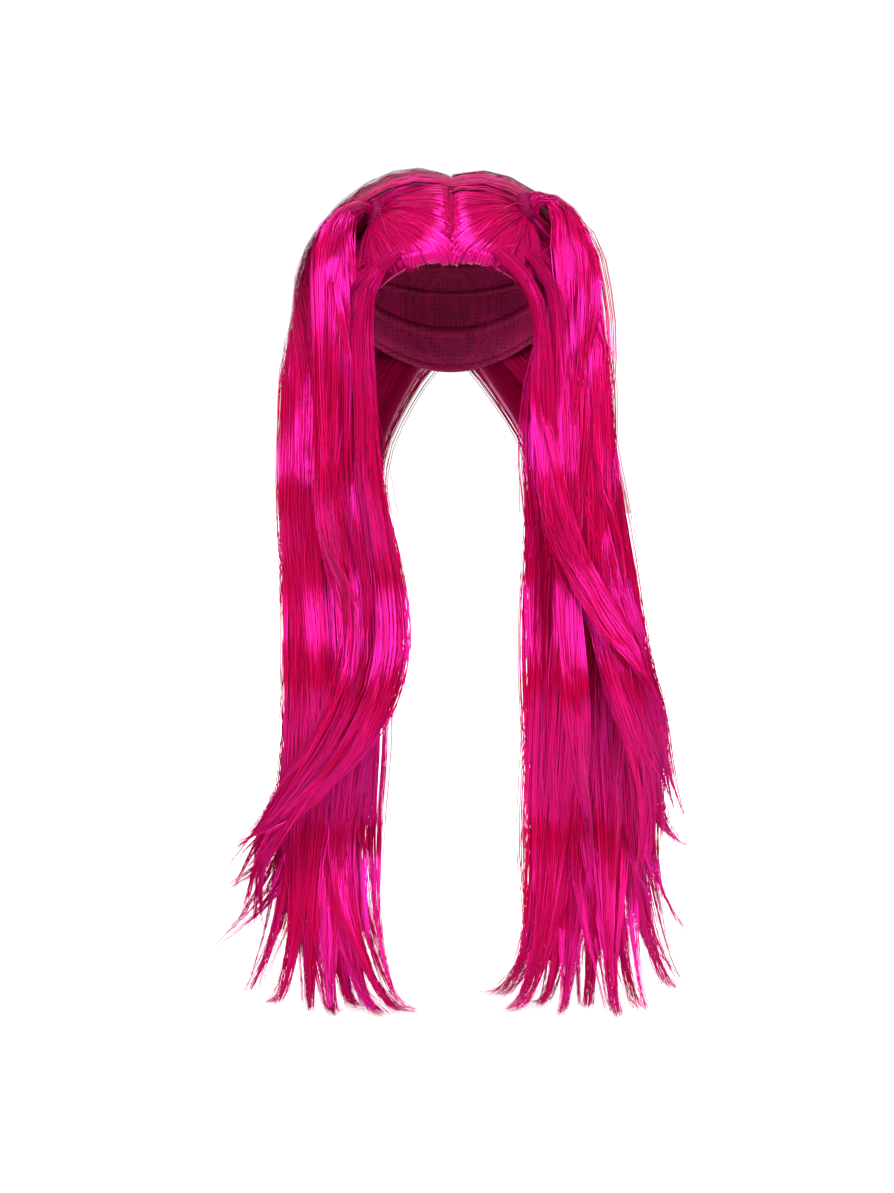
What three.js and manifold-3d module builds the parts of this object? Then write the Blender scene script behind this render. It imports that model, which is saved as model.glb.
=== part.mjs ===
// A long straight costume wig: a net cap that fits a head, front hair that is gathered into two small
// bunches by wrapped ties, side and back hair that falls forward in two curtains, and loose face locks.
// Millimetres, +Z up. The origin is the inside of the crown, where the cap sits on the head.
// The face looks along -Y. Left is -X and right is +X, as seen by someone facing the wig.
import * as THREE from "three";
import { mergeVertices } from "three/addons/utils/BufferGeometryUtils.js";
import Module from "manifold-3d";

const wasm = await Module();
wasm.setup();

// Head form inside the cap: half sizes about a centre that lies CROWN_RISE below the origin.
const HEAD_HALF_WIDTH = 76;
const HEAD_HALF_LENGTH = 95;
const CROWN_RISE = 90;
const NAPE_DROP = 150;

// Cap wall, the gap that every piece keeps to its neighbours, and the room cut for a lock in the
// hair behind it.
const CAP_WALL = 2;
const PIECE_GAP = 0.5;
const LOCK_ROOM = 0.8;

// Corners closer than this are one corner.
const WELD = 1e-3;

// How finely the faceted pieces are cut.
const CAP_TURNS = 24;
const CAP_ROWS = 6;
const SIDE_STEPS = 8;
const LOCK_STEPS = 9;
const FACE_STEPS = 9;
const TAIL_STEPS = 8;
const RIB_STEPS = 5;
const SECTION_SIDES = 6;

// Edge of the cap, as degrees down from the crown, for degrees round from the forehead to the nape.
const CAP_EDGE = [
  { turn: 0, tilt: 65 },
  { turn: 25, tilt: 67 },
  { turn: 45, tilt: 75 },
  { turn: 68, tilt: 100 },
  { turn: 85, tilt: 104 },
  { turn: 110, tilt: 97 },
  { turn: 145, tilt: 107 },
  { turn: 180, tilt: 112 },
];

// Wrapped tie round the neck of each bunch.
const TIE_INNER_RADIUS = 6.5;
const TIE_OUTER_RADIUS = 10;
const TIE_WIDTH = 9;
const TIE_SEGMENTS = 16;
const NECK_RADIUS = TIE_INNER_RADIUS - PIECE_GAP;

// Front hair lies flat from the hairline and the parting to the tie, in ribs that meet at its neck.
const FAN_RIBS = [
  { turn: 50, tilt: 77, half: 9 },
  { turn: 36, tilt: 69, half: 11 },
  { turn: 21, tilt: 65, half: 11 },
  { turn: 6, tilt: 63, half: 11 },
  { turn: 4, tilt: 46, half: 11 },
  { turn: 7, tilt: 29, half: 11 },
];
const RIB_HALF_THICKNESS = 3.5;

// Each hanging lock leaves its root on the parting or the hairline, runs over the head to where it
// leaves it, and then hangs in its curtain. "across" is its place between the curtain's inner and
// outer edge, and "behind" how far it lies behind the curtain's front.
const SIDE_LOCKS = [
  { root: { turn: 50, tilt: 72 }, leave: { turn: 74, tilt: 98 }, lift: 9, across: 0.06, behind: 10 },
  { root: { turn: 62, tilt: 66 }, leave: { turn: 84, tilt: 96 }, lift: 14, across: 0.26, behind: 14 },
  { root: { turn: 18, tilt: 16 }, leave: { turn: 76, tilt: 72 }, lift: 20, across: 0.46, behind: 10 },
  { root: { turn: 90, tilt: 5 }, leave: { turn: 86, tilt: 76 }, lift: 27, across: 0.66, behind: 8 },
  { root: { turn: 165, tilt: 15 }, leave: { turn: 96, tilt: 78 }, lift: 31, across: 0.84, behind: 10 },
  { root: { turn: 172, tilt: 27 }, leave: { turn: 107, tilt: 80 }, lift: 30, across: 0.97, behind: 16 },
];
const BACK_LOCKS = [
  { root: { turn: 175, tilt: 40 }, leave: { turn: 118, tilt: 86 }, lift: 25, across: 0.92, rear: 0.32 },
  { root: { turn: 176, tilt: 54 }, leave: { turn: 129, tilt: 93 }, lift: 20, across: 0.72, rear: 0.48 },
  { root: { turn: 177, tilt: 68 }, leave: { turn: 139, tilt: 99 }, lift: 15, across: 0.5, rear: 0.66 },
  { root: { turn: 177, tilt: 82 }, leave: { turn: 148, tilt: 104 }, lift: 11, across: 0.28, rear: 0.85 },
  { root: { turn: 177, tilt: 96 }, leave: { turn: 157, tilt: 108 }, lift: 8, across: 0.08, rear: 1 },
];
const SIDE_HALF = { width: 16, thickness: 9 };
const BACK_HALF = { width: 18, thickness: 7 };
const BACK_LAYER_DEPTH = 14;
const ROOT_LIFT = 6;

// Rows of short hair sewn flat on the cap under the locks. They hide it and join the locks at their
// roots. The front, side and back hair meet over the ears and behind the crown.
const WEFT_LIFT = 7;
const WEFT_EDGE = 3;
const FRONT_PARTING_Y = -38;
const BACK_PARTING_Y = 48;

// The two sides. "fullness" scales how far the hair stands off the head. In a curtain's rows, "inner"
// and "outer" are distances from the middle of the head to its edges, and "front" and "back" the depths
// of its front locks and of the back hair that comes round the neck. The tips have one row for each
// side lock and each back lock, in the order of the tables above. "out" is distance from the middle.
const LEFT = {
  name: "left",
  sign: -1,
  fullness: 1.2,
  curtain: [
    { z: -130, inner: 72, outer: 116, front: -26, back: 100 },
    { z: -165, inner: 66, outer: 116, front: -35, back: 66 },
    { z: -205, inner: 60, outer: 116, front: -45, back: 30 },
    { z: -275, inner: 58, outer: 119, front: -56, back: -6 },
    { z: -345, inner: 57, outer: 117, front: -62, back: -28 },
    { z: -425, inner: 64, outer: 121, front: -66, back: -40 },
    { z: -495, inner: 72, outer: 129, front: -70, back: -46 },
    { z: -555, inner: 74, outer: 130, front: -76, back: -50 },
  ],
  sideTips: [
    { out: 48, y: -112, z: -620 },
    { out: 70, y: -116, z: -618 },
    { out: 92, y: -112, z: -617 },
    { out: 114, y: -106, z: -618 },
    { out: 144, y: -96, z: -613 },
    { out: 166, y: -80, z: -604 },
  ],
  backTips: [
    { out: 148, y: -56, z: -606 },
    { out: 122, y: -70, z: -612 },
    { out: 98, y: -76, z: -616 },
    { out: 84, y: -76, z: -612 },
    { out: 72, y: -70, z: -600 },
  ],
  tie: { out: 57, y: -40, z: -20, aim: { out: 0.93, y: -0.34, z: 0.16 } },
  tail: [
    { out: 70, y: -45, z: -17, half: 8 },
    { out: 81, y: -50, z: -24, half: 11 },
    { out: 89, y: -54, z: -46, half: 14 },
    { out: 90, y: -58, z: -110, half: 15 },
    { out: 88, y: -64, z: -180, half: 15 },
    { out: 82, y: -76, z: -255, half: 15 },
    { out: 70, y: -86, z: -315, half: 15 },
    { out: 74, y: -90, z: -368, half: 15 },
    { out: 100, y: -92, z: -425, half: 14 },
    { out: 132, y: -92, z: -470, half: 11 },
  ],
  tailTips: [
    { out: 158, y: -92, z: -556 },
    { out: 178, y: -91, z: -520 },
  ],
  faceLocks: [
    {
      name: "face_lock_left",
      root: { turn: 30, tilt: 63 },
      path: [
        { out: 58, y: -87, z: -68, half: 6 },
        { out: 65, y: -84, z: -100, half: 7 },
        { out: 63, y: -83, z: -165, half: 8 },
        { out: 59, y: -86, z: -230, half: 9 },
        { out: 49, y: -94, z: -290, half: 10 },
        { out: 44, y: -101, z: -340, half: 11 },
        { out: 56, y: -104, z: -390, half: 11 },
        { out: 88, y: -105, z: -438, half: 9 },
        { out: 124, y: -104, z: -476, half: 7 },
      ],
      tip: { out: 160, y: -102, z: -500 },
    },
  ],
};
const RIGHT = {
  name: "right",
  sign: 1,
  fullness: 0.85,
  curtain: [
    { z: -130, inner: 72, outer: 104, front: -26, back: 100 },
    { z: -165, inner: 70, outer: 108, front: -35, back: 66 },
    { z: -205, inner: 68, outer: 113, front: -45, back: 30 },
    { z: -275, inner: 72, outer: 126, front: -56, back: -6 },
    { z: -345, inner: 70, outer: 138, front: -62, back: -28 },
    { z: -425, inner: 66, outer: 146, front: -66, back: -40 },
    { z: -495, inner: 62, outer: 148, front: -70, back: -46 },
    { z: -555, inner: 63, outer: 140, front: -76, back: -50 },
  ],
  sideTips: [
    { out: 40, y: -112, z: -612 },
    { out: 58, y: -118, z: -618 },
    { out: 90, y: -116, z: -619 },
    { out: 126, y: -112, z: -620 },
    { out: 164, y: -100, z: -612 },
    { out: 188, y: -66, z: -498 },
  ],
  backTips: [
    { out: 182, y: -62, z: -584 },
    { out: 140, y: -70, z: -610 },
    { out: 112, y: -76, z: -616 },
    { out: 84, y: -76, z: -614 },
    { out: 64, y: -70, z: -600 },
  ],
  tie: { out: 56, y: -40, z: -16, aim: { out: 0.96, y: -0.14, z: 0.24 } },
  tail: [
    { out: 68, y: -42, z: -10, half: 8 },
    { out: 80, y: -44, z: -16, half: 11 },
    { out: 90, y: -47, z: -42, half: 12 },
    { out: 97, y: -52, z: -95, half: 13 },
    { out: 100, y: -59, z: -150, half: 14 },
    { out: 104, y: -70, z: -215, half: 15 },
    { out: 112, y: -81, z: -275, half: 16 },
    { out: 122, y: -86, z: -325, half: 16 },
    { out: 134, y: -88, z: -370, half: 15 },
    { out: 146, y: -88, z: -415, half: 12 },
  ],
  tailTips: [
    { out: 156, y: -88, z: -508 },
    { out: 170, y: -87, z: -480 },
  ],
  faceLocks: [
    {
      name: "face_lock_right_front",
      root: { turn: 24, tilt: 62 },
      path: [
        { out: 58, y: -88, z: -74, half: 4 },
        { out: 67, y: -86, z: -110, half: 5 },
        { out: 70, y: -86, z: -165, half: 6 },
        { out: 73, y: -92, z: -225, half: 7 },
        { out: 88, y: -102, z: -272, half: 8 },
        { out: 110, y: -107, z: -308, half: 8 },
        { out: 136, y: -108, z: -345, half: 6 },
      ],
      tip: { out: 164, y: -106, z: -400 },
    },
    {
      name: "face_lock_right_rear",
      root: { turn: 36, tilt: 60 },
      path: [
        { out: 70, y: -72, z: -76, half: 5 },
        { out: 79, y: -71, z: -110, half: 6 },
        { out: 83, y: -75, z: -165, half: 7 },
        { out: 85, y: -85, z: -230, half: 7 },
        { out: 88, y: -96, z: -300, half: 8 },
        { out: 92, y: -102, z: -370, half: 8 },
        { out: 98, y: -104, z: -440, half: 7 },
      ],
      tip: { out: 112, y: -104, z: -510 },
    },
  ],
};
const FACE_LOCK_HALF_THICKNESS = 3;
const FACE_LOCK_LIFT = 10;
const TAIL_HALF_THICKNESS = 6;
const TAIL_LOCK_SHARE = 0.7;

// Hair colours and finishes.
const PINK_HAIR = { color: 0xd1045f, roughness: 0.35, metalness: 0.0 };
const TIE_CLOTH = { color: 0xb8085c, roughness: 0.6, metalness: 0.0 };
const CAP_NET = { color: 0x8f0a48, roughness: 0.8, metalness: 0.0 };

const radians = THREE.MathUtils.degToRad;
const lerp = THREE.MathUtils.lerp;
const HEAD_CENTRE = new THREE.Vector3(0, 0, -CROWN_RISE);

// Direction on the head for degrees round from the forehead and degrees down from the crown.
function headDirection(sign, { turn, tilt }) {
  const around = radians(turn);
  const down = radians(tilt);
  return new THREE.Vector3(
    sign * Math.sin(down) * Math.sin(around),
    -Math.sin(down) * Math.cos(around),
    Math.cos(down),
  );
}

// Point that lies "lift" outside the head form in that direction.
function headPoint(direction, lift) {
  const rise = direction.z > 0 ? CROWN_RISE : NAPE_DROP;
  return new THREE.Vector3(
    direction.x * (HEAD_HALF_WIDTH + lift),
    direction.y * (HEAD_HALF_LENGTH + lift),
    HEAD_CENTRE.z + direction.z * (rise + lift),
  );
}

// Direction part of the way along the shortest line over the head between two others.
function alongHead(from, to, share) {
  const angle = from.angleTo(to);
  const a = Math.sin((1 - share) * angle) / Math.sin(angle);
  const b = Math.sin(share * angle) / Math.sin(angle);
  return from.clone().multiplyScalar(a).addScaledVector(to, b);
}

// Tilt of the cap's edge at a turn, smooth between the rows of its table.
function edgeTilt(turn) {
  const next = CAP_EDGE.findIndex((row) => row.turn >= turn);
  if (next === 0) return CAP_EDGE[0].tilt;
  const [a, b] = [CAP_EDGE[next - 1], CAP_EDGE[next]];
  return lerp(a.tilt, b.tilt, THREE.MathUtils.smoothstep(turn, a.turn, b.turn));
}

// Closed solid through a row of rings, each turning counterclockwise about the way the row runs.
function skinned(rings, startPoint, endPoint) {
  const sides = rings[0].length;
  const points = [startPoint, ...rings.flat(), endPoint];
  const at = (ring, side) => 1 + ring * sides + (side % sides);
  const faces = [];
  for (let side = 0; side < sides; side++) {
    faces.push(0, at(0, side + 1), at(0, side));
    faces.push(points.length - 1, at(rings.length - 1, side), at(rings.length - 1, side + 1));
    for (let ring = 0; ring + 1 < rings.length; ring++) {
      faces.push(at(ring, side), at(ring, side + 1), at(ring + 1, side));
      faces.push(at(ring, side + 1), at(ring + 1, side + 1), at(ring + 1, side));
    }
  }
  const geometry = new THREE.BufferGeometry().setFromPoints(points);
  geometry.setIndex(faces);
  return solidOf(geometry);
}

// A closed geometry as a solid for joining and cutting.
function solidOf(geometry) {
  const bare = geometry.clone();
  bare.deleteAttribute("normal");
  bare.deleteAttribute("uv");
  const merged = mergeVertices(bare, WELD);
  return new wasm.Manifold(
    new wasm.Mesh({
      numProp: 3,
      vertProperties: new Float32Array(merged.attributes.position.array),
      triVerts: new Uint32Array(merged.index.array),
    }),
  );
}

const joined = (solids) => solids.reduce((all, one) => all.add(one));

function geometryOf(solid) {
  const { vertProperties, triVerts } = solid.getMesh();
  const geometry = new THREE.BufferGeometry();
  geometry.setAttribute("position", new THREE.BufferAttribute(vertProperties, 3));
  geometry.setIndex(new THREE.BufferAttribute(triVerts, 1));
  return geometry;
}

// The largest body of a solid, without the crumbs that a cut can leave, before and after welding.
function mainBody(solid) {
  const largest = (bodies) => bodies.reduce((best, one) => (one.volume() > best.volume() ? one : best));
  return largest(solidOf(geometryOf(largest(solid.decompose()))).decompose());
}

function meshOf(name, solid, finish) {
  const geometry = geometryOf(solid);
  geometry.computeVertexNormals();
  const mesh = new THREE.Mesh(geometry, new THREE.MeshStandardMaterial(finish));
  mesh.name = name;
  return mesh;
}

// One ring of the head form: a level at the same share of the way from the crown to its edge.
function headRing(share, lift, edge) {
  return Array.from({ length: CAP_TURNS }, (_, step) => {
    const around = 360 - (360 * step) / CAP_TURNS;
    const turn = around > 180 ? 360 - around : around;
    const sign = around > 180 ? -1 : 1;
    return headPoint(headDirection(sign, { turn, tilt: share * edge(turn) }), lift);
  });
}

function headRings(lift, edge, rows = CAP_ROWS) {
  return Array.from({ length: rows }, (_, row) => headRing((row + 1) / rows, lift, edge));
}

// The cap: an open shell over the head form, down to its edge.
function capSolid() {
  const outer = headRings(CAP_WALL, edgeTilt);
  const inner = headRings(0, edgeTilt).reverse();
  const crown = headDirection(1, { turn: 0, tilt: 0 });
  return skinned([...outer, ...inner], headPoint(crown, CAP_WALL), headPoint(crown, 0));
}

// The room that the head and the cap take, which no hair enters.
function headRoom() {
  const ROOM_TILT = 118;
  const lift = CAP_WALL + 2 * PIECE_GAP;
  const crown = headDirection(1, { turn: 0, tilt: 0 });
  const floor = headPoint(headDirection(1, { turn: 0, tilt: ROOM_TILT }), lift).z;
  const rings = headRings(lift, () => ROOM_TILT, 2 * CAP_ROWS);
  return skinned(rings, headPoint(crown, lift), new THREE.Vector3(0, 0, floor));
}

// The sewn-down hair of one zone of the cap, between two depths, before the head's room is cut out.
function wefts(from, to, grow) {
  const edge = (turn) => edgeTilt(turn) - WEFT_EDGE;
  const rings = headRings(WEFT_LIFT + grow, edge);
  if (grow) rings.push(headRing(1, WEFT_LIFT + grow, (turn) => edge(turn) + 1));
  const crown = headDirection(1, { turn: 0, tilt: 0 });
  const dome = skinned(rings, headPoint(crown, WEFT_LIFT + grow), HEAD_CENTRE);
  const trim = PIECE_GAP - 1.5 * grow;
  return dome.trimByPlane([0, 1, 0], from + trim).trimByPlane([0, -1, 0], trim - to);
}

// Which way a lock's flat side faces: out from the head at the crown, and further down forward or,
// for hair behind, back.
function facing(point, sign, forward) {
  const CLEAR_OF_HEAD = { from: -90, to: -240 };
  const head = point.clone().sub(HEAD_CENTRE);
  head.x /= HEAD_HALF_WIDTH ** 2;
  head.y /= HEAD_HALF_LENGTH ** 2;
  head.z = Math.max(0, head.z) / CROWN_RISE ** 2;
  const hanging = new THREE.Vector3(sign * 0.4, -0.9 * forward, 0);
  const share = THREE.MathUtils.smoothstep(-point.z, -CLEAR_OF_HEAD.from, -CLEAR_OF_HEAD.to);
  return head.normalize().lerp(hanging, share).normalize();
}

// Lens-shaped lock along a path. It swells from its root and runs out to a point at its tip. "grow"
// widens it on every side, for cutting room for it in a neighbour.
function lockSolid(path, { sign, forward, steps, rootShare, tipFrom, halfWidth, halfThickness, grow }) {
  const ROOT_SWELL = 0.1;
  const ROOT_CROWDING = 1.6;
  const TIP_ROUNDING = 1.5;
  const curve = new THREE.CatmullRomCurve3(path, false, "centripetal");
  const rings = [];
  for (let step = 0; step < steps; step++) {
    const share = (step / steps) ** ROOT_CROWDING;
    const along = curve.getTangentAt(share);
    const centre = curve.getPointAt(share);
    if (step === 0) centre.addScaledVector(along, -grow);
    const out = facing(centre, sign, forward);
    const across = along.clone().cross(out).normalize();
    out.copy(across).cross(along).normalize();
    const swell = lerp(rootShare, 1, Math.min(1, share / ROOT_SWELL));
    const taper = 1 - Math.max(0, (share - tipFrom) / (1 - tipFrom)) ** TIP_ROUNDING;
    const wide = halfWidth(share) * swell * taper + grow;
    const thick = halfThickness * swell * Math.sqrt(taper) + grow;
    rings.push(
      Array.from({ length: SECTION_SIDES }, (_, side) => {
        const angle = (2 * Math.PI * (side + 0.5)) / SECTION_SIDES;
        return centre
          .clone()
          .addScaledVector(out, thick * Math.cos(angle))
          .addScaledVector(across, wide * Math.sin(angle));
      }),
    );
  }
  const start = rings[0].reduce((sum, p) => sum.add(p), new THREE.Vector3()).divideScalar(SECTION_SIDES);
  const end = curve.getPointAt(1).addScaledVector(curve.getTangentAt(1), 2 * grow);
  return skinned(rings, start, end);
}

const placed = (sign, { out, y, z }) => new THREE.Vector3(sign * out, y, z);

// Width of a lock part of the way along it, from the "half" of its rows.
function widthAlong(rows) {
  return (share) => {
    const place = share * (rows.length - 1);
    const row = Math.min(rows.length - 2, Math.floor(place));
    return lerp(rows[row].half, rows[row + 1].half, place - row);
  };
}

// Path of a side or back lock: over the head, then down its curtain to its tip.
function hangingPath(side, lock, tip, depth) {
  const OVER_HEAD = [0, 0.2, 0.45, 0.72, 1];
  const CLEARANCE = 30;
  const TIP_CURVE = 90;
  const from = headDirection(side.sign, lock.root);
  const to = headDirection(side.sign, lock.leave);
  const lift = (share) => lerp(ROOT_LIFT, lock.lift * side.fullness, share);
  const path = OVER_HEAD.map((share) => headPoint(alongHead(from, to, share), lift(share)));
  const leaves = path[path.length - 1].z;
  for (const row of side.curtain) {
    if (row.z > leaves - CLEARANCE || row.z < tip.z + TIP_CURVE) continue;
    const out = lerp(row.inner, row.outer, lock.across);
    path.push(placed(side.sign, { out, y: depth(row), z: row.z }));
  }
  path.push(placed(side.sign, tip));
  return path;
}

// Hair from the crown and the temple that falls over the ear in front.
function sideHair(side, grow) {
  const locks = SIDE_LOCKS.map((lock, index) => {
    const depth = (row) => row.front + lock.behind;
    return lockSolid(hangingPath(side, lock, side.sideTips[index], depth), {
      sign: side.sign,
      forward: 1,
      steps: SIDE_STEPS,
      rootShare: 0.6,
      tipFrom: 0.82,
      halfWidth: () => SIDE_HALF.width,
      halfThickness: SIDE_HALF.thickness,
      grow,
    });
  });
  return joined([...locks, wefts(FRONT_PARTING_Y, BACK_PARTING_Y, grow)]);
}

// Hair from behind the crown down to the nape, drawn forward round the neck.
function backHair(side, grow) {
  const locks = BACK_LOCKS.map((lock, index) => {
    const depth = (row) => lerp(row.front + BACK_LAYER_DEPTH, row.back, lock.rear);
    return lockSolid(hangingPath(side, lock, side.backTips[index], depth), {
      sign: side.sign,
      forward: -1,
      steps: LOCK_STEPS,
      rootShare: 0.8,
      tipFrom: 0.82,
      halfWidth: () => BACK_HALF.width,
      halfThickness: BACK_HALF.thickness,
      grow,
    });
  });
  return joined([...locks, wefts(BACK_PARTING_Y, HEAD_HALF_LENGTH * 2, grow)]);
}

// Front hair of one side: the fan of ribs, the neck inside the tie, and the tail's two locks.
function bunch(side, grow) {
  const TIE_LIFT = 9;
  const RIB_REACH = [0, 0.3, 0.6, 0.8];
  const TAIL_FAN = [-0.5, 0.5];
  const tie = placed(side.sign, side.tie);
  const aim = placed(side.sign, side.tie.aim).normalize();
  const toTie = tie.clone().sub(HEAD_CENTRE);
  toTie.set(toTie.x / HEAD_HALF_WIDTH, toTie.y / HEAD_HALF_LENGTH, toTie.z / CROWN_RISE).normalize();
  const ribs = FAN_RIBS.map((rib) => {
    const from = headDirection(side.sign, rib);
    const path = RIB_REACH.map((share) =>
      headPoint(alongHead(from, toTie, share), lerp(ROOT_LIFT, TIE_LIFT, share ** 2)),
    );
    path.push(tie.clone().addScaledVector(aim, -TIE_WIDTH / 2), tie);
    return lockSolid(path, {
      sign: side.sign,
      forward: 1,
      steps: RIB_STEPS,
      rootShare: 0.9,
      tipFrom: 0.35,
      halfWidth: () => rib.half,
      halfThickness: RIB_HALF_THICKNESS,
      grow,
    });
  });
  const neck = neckSolid(tie, aim, grow);
  const tail = TAIL_FAN.map((fan, index) => {
    const rows = side.tail.map((row) => ({ ...row, half: TAIL_LOCK_SHARE * row.half }));
    const path = rows.map((row, at) =>
      placed(side.sign, { ...row, out: row.out + fan * row.half * Math.min(1, at / 2) }),
    );
    path.unshift(tie.clone().addScaledVector(aim, TIE_WIDTH / 2));
    path.push(placed(side.sign, side.tailTips[index]));
    return lockSolid(path, {
      sign: side.sign,
      forward: 1,
      steps: TAIL_STEPS,
      rootShare: 0.8,
      tipFrom: 0.8,
      halfWidth: widthAlong(rows),
      halfThickness: TAIL_HALF_THICKNESS,
      grow,
    });
  });
  return joined([...ribs, neck, ...tail, wefts(-HEAD_HALF_LENGTH * 2, FRONT_PARTING_Y, grow)]);
}

// Short round rod of gathered hair that the tie holds.
function neckSolid(tie, aim, grow) {
  const NECK_SIDES = 12;
  const reach = TIE_WIDTH * 0.75 + 5 * grow;
  const radius = NECK_RADIUS + 4 * grow;
  const rod = new THREE.CylinderGeometry(radius, radius, 2 * reach, NECK_SIDES);
  rod.applyQuaternion(new THREE.Quaternion().setFromUnitVectors(new THREE.Vector3(0, 1, 0), aim));
  rod.translate(tie.x, tie.y, tie.z);
  return solidOf(rod);
}

// Closed profile of the tie, rounded like cloth wound over elastic.
function tieGeometry(grow) {
  const PROFILE_POINTS = 8;
  const middle = (TIE_INNER_RADIUS + TIE_OUTER_RADIUS) / 2;
  const halfDepth = (TIE_OUTER_RADIUS - TIE_INNER_RADIUS) / 2 + grow;
  const profile = Array.from({ length: PROFILE_POINTS + 1 }, (_, index) => {
    const angle = (2 * Math.PI * (index % PROFILE_POINTS)) / PROFILE_POINTS;
    return new THREE.Vector2(middle + halfDepth * Math.cos(angle), (TIE_WIDTH / 2 + grow) * Math.sin(angle));
  });
  return new THREE.LatheGeometry(profile, TIE_SEGMENTS);
}

function tieTurn(side) {
  const aim = placed(side.sign, side.tie.aim).normalize();
  return new THREE.Quaternion().setFromUnitVectors(new THREE.Vector3(0, 1, 0), aim);
}

function tieMesh(side) {
  const mesh = new THREE.Mesh(tieGeometry(0), new THREE.MeshStandardMaterial(TIE_CLOTH));
  mesh.name = `tie_${side.name}`;
  mesh.quaternion.copy(tieTurn(side));
  mesh.position.copy(placed(side.sign, side.tie));
  return mesh;
}

function tieRoom(side) {
  const { x, y, z } = placed(side.sign, side.tie);
  return solidOf(tieGeometry(PIECE_GAP).applyQuaternion(tieTurn(side)).translate(x, y, z));
}

// Loose lock that leaves the hairline and hangs beside the face.
function faceLock(side, lock, grow) {
  const from = headDirection(side.sign, lock.root);
  const root = headPoint(from, FACE_LOCK_LIFT);
  const path = [root, ...lock.path.map((row) => placed(side.sign, row)), placed(side.sign, lock.tip)];
  return lockSolid(path, {
    sign: side.sign,
    forward: 1,
    steps: FACE_STEPS,
    rootShare: 0.8,
    tipFrom: 0.75,
    halfWidth: widthAlong(lock.path),
    halfThickness: FACE_LOCK_HALF_THICKNESS,
    grow,
  });
}

// Hair of one side, each piece cut clear of the head and of the pieces in front of it.
function hairOf(side, room) {
  const half = (solid) => solid.trimByPlane([side.sign, 0, 0], PIECE_GAP);
  const group = new THREE.Group();
  let taken = room.add(tieRoom(side));
  const place = (name, solid, cutter) => {
    group.add(meshOf(name, mainBody(half(solid).subtract(taken)), PINK_HAIR));
    taken = taken.add(cutter);
  };
  place(`bunch_${side.name}`, bunch(side, 0), bunch(side, LOCK_ROOM));
  for (const lock of side.faceLocks) {
    place(lock.name, faceLock(side, lock, 0), faceLock(side, lock, LOCK_ROOM));
  }
  place(`side_hair_${side.name}`, sideHair(side, 0), sideHair(side, LOCK_ROOM));
  place(`back_hair_${side.name}`, backHair(side, 0), backHair(side, LOCK_ROOM));
  group.add(tieMesh(side));
  return group;
}

const wig = new THREE.Group();
const room = headRoom();
wig.add(meshOf("cap", capSolid(), CAP_NET));
for (const side of [LEFT, RIGHT]) wig.add(hairOf(side, room));

export default wig;
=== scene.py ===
import math

import bpy
import numpy as np
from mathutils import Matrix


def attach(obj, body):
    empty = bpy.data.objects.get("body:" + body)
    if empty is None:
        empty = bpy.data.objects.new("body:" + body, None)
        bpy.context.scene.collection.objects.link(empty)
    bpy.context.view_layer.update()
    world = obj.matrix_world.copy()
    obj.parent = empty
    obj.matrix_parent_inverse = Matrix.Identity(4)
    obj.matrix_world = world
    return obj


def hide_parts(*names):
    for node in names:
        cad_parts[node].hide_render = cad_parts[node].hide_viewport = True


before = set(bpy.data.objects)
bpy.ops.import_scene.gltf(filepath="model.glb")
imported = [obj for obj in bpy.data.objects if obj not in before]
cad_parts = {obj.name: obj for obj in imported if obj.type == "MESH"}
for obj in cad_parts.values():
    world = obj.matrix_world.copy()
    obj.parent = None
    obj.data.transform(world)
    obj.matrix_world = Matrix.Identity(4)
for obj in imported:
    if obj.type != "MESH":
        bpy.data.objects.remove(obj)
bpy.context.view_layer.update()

MM = 0.001


# Floor, light and camera. A pale paper floor lies just under the lowest hair tips, inside a white dome.
# Two soft boxes stand in front, one hangs above and one stands behind.
# A light that falls on the paper alone keeps it white.
FLOOR_Z = -0.6212
FLOOR_RADIUS = 3.6
FLOOR_INNER_RADIUS = 0.02
FLOOR_RINGS = 24
DOME_RADIUS = 3.4
DOME_RINGS = 20
DOME_DROP = 0.01
ROUND_SIDES = 64
PAPER_WHITE = (0.93, 0.925, 0.925, 1.0)
PAPER_ROUGHNESS = 0.7
SURROUND_COLOUR = (1.0, 0.985, 0.98, 1.0)
SURROUND_STRENGTH = 0.2
CAMERA_PLACE = (-0.003, -1.950, -0.037)
CAMERA_PITCH = math.radians(90 - 8.14)
CAMERA_LENS = 76.2
SENSOR_WIDTH = 36


def add_object(name, mesh):
    """Puts a mesh in the scene as an object of that name."""
    made = bpy.data.objects.new(name, mesh)
    bpy.context.scene.collection.objects.link(made)
    return made


def mesh_of(name, points, quads, smooth=True):
    """Mesh from an array of points and an array of four-cornered faces."""
    mesh = bpy.data.meshes.new(name)
    mesh.vertices.add(len(points))
    mesh.vertices.foreach_set("co", np.asarray(points, np.float32).ravel())
    mesh.loops.add(4 * len(quads))
    mesh.loops.foreach_set("vertex_index", np.asarray(quads, np.int32).ravel())
    mesh.polygons.add(len(quads))
    mesh.polygons.foreach_set("loop_start", np.arange(0, 4 * len(quads), 4, dtype=np.int32))
    mesh.polygons.foreach_set("use_smooth", np.full(len(quads), smooth))
    mesh.update(calc_edges=True)
    return mesh


def plain_material(name):
    """New node material, with its shader and its node tree."""
    made = bpy.data.materials.new(name)
    made.use_nodes = True
    return made, made.node_tree.nodes["Principled BSDF"], made.node_tree


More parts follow.
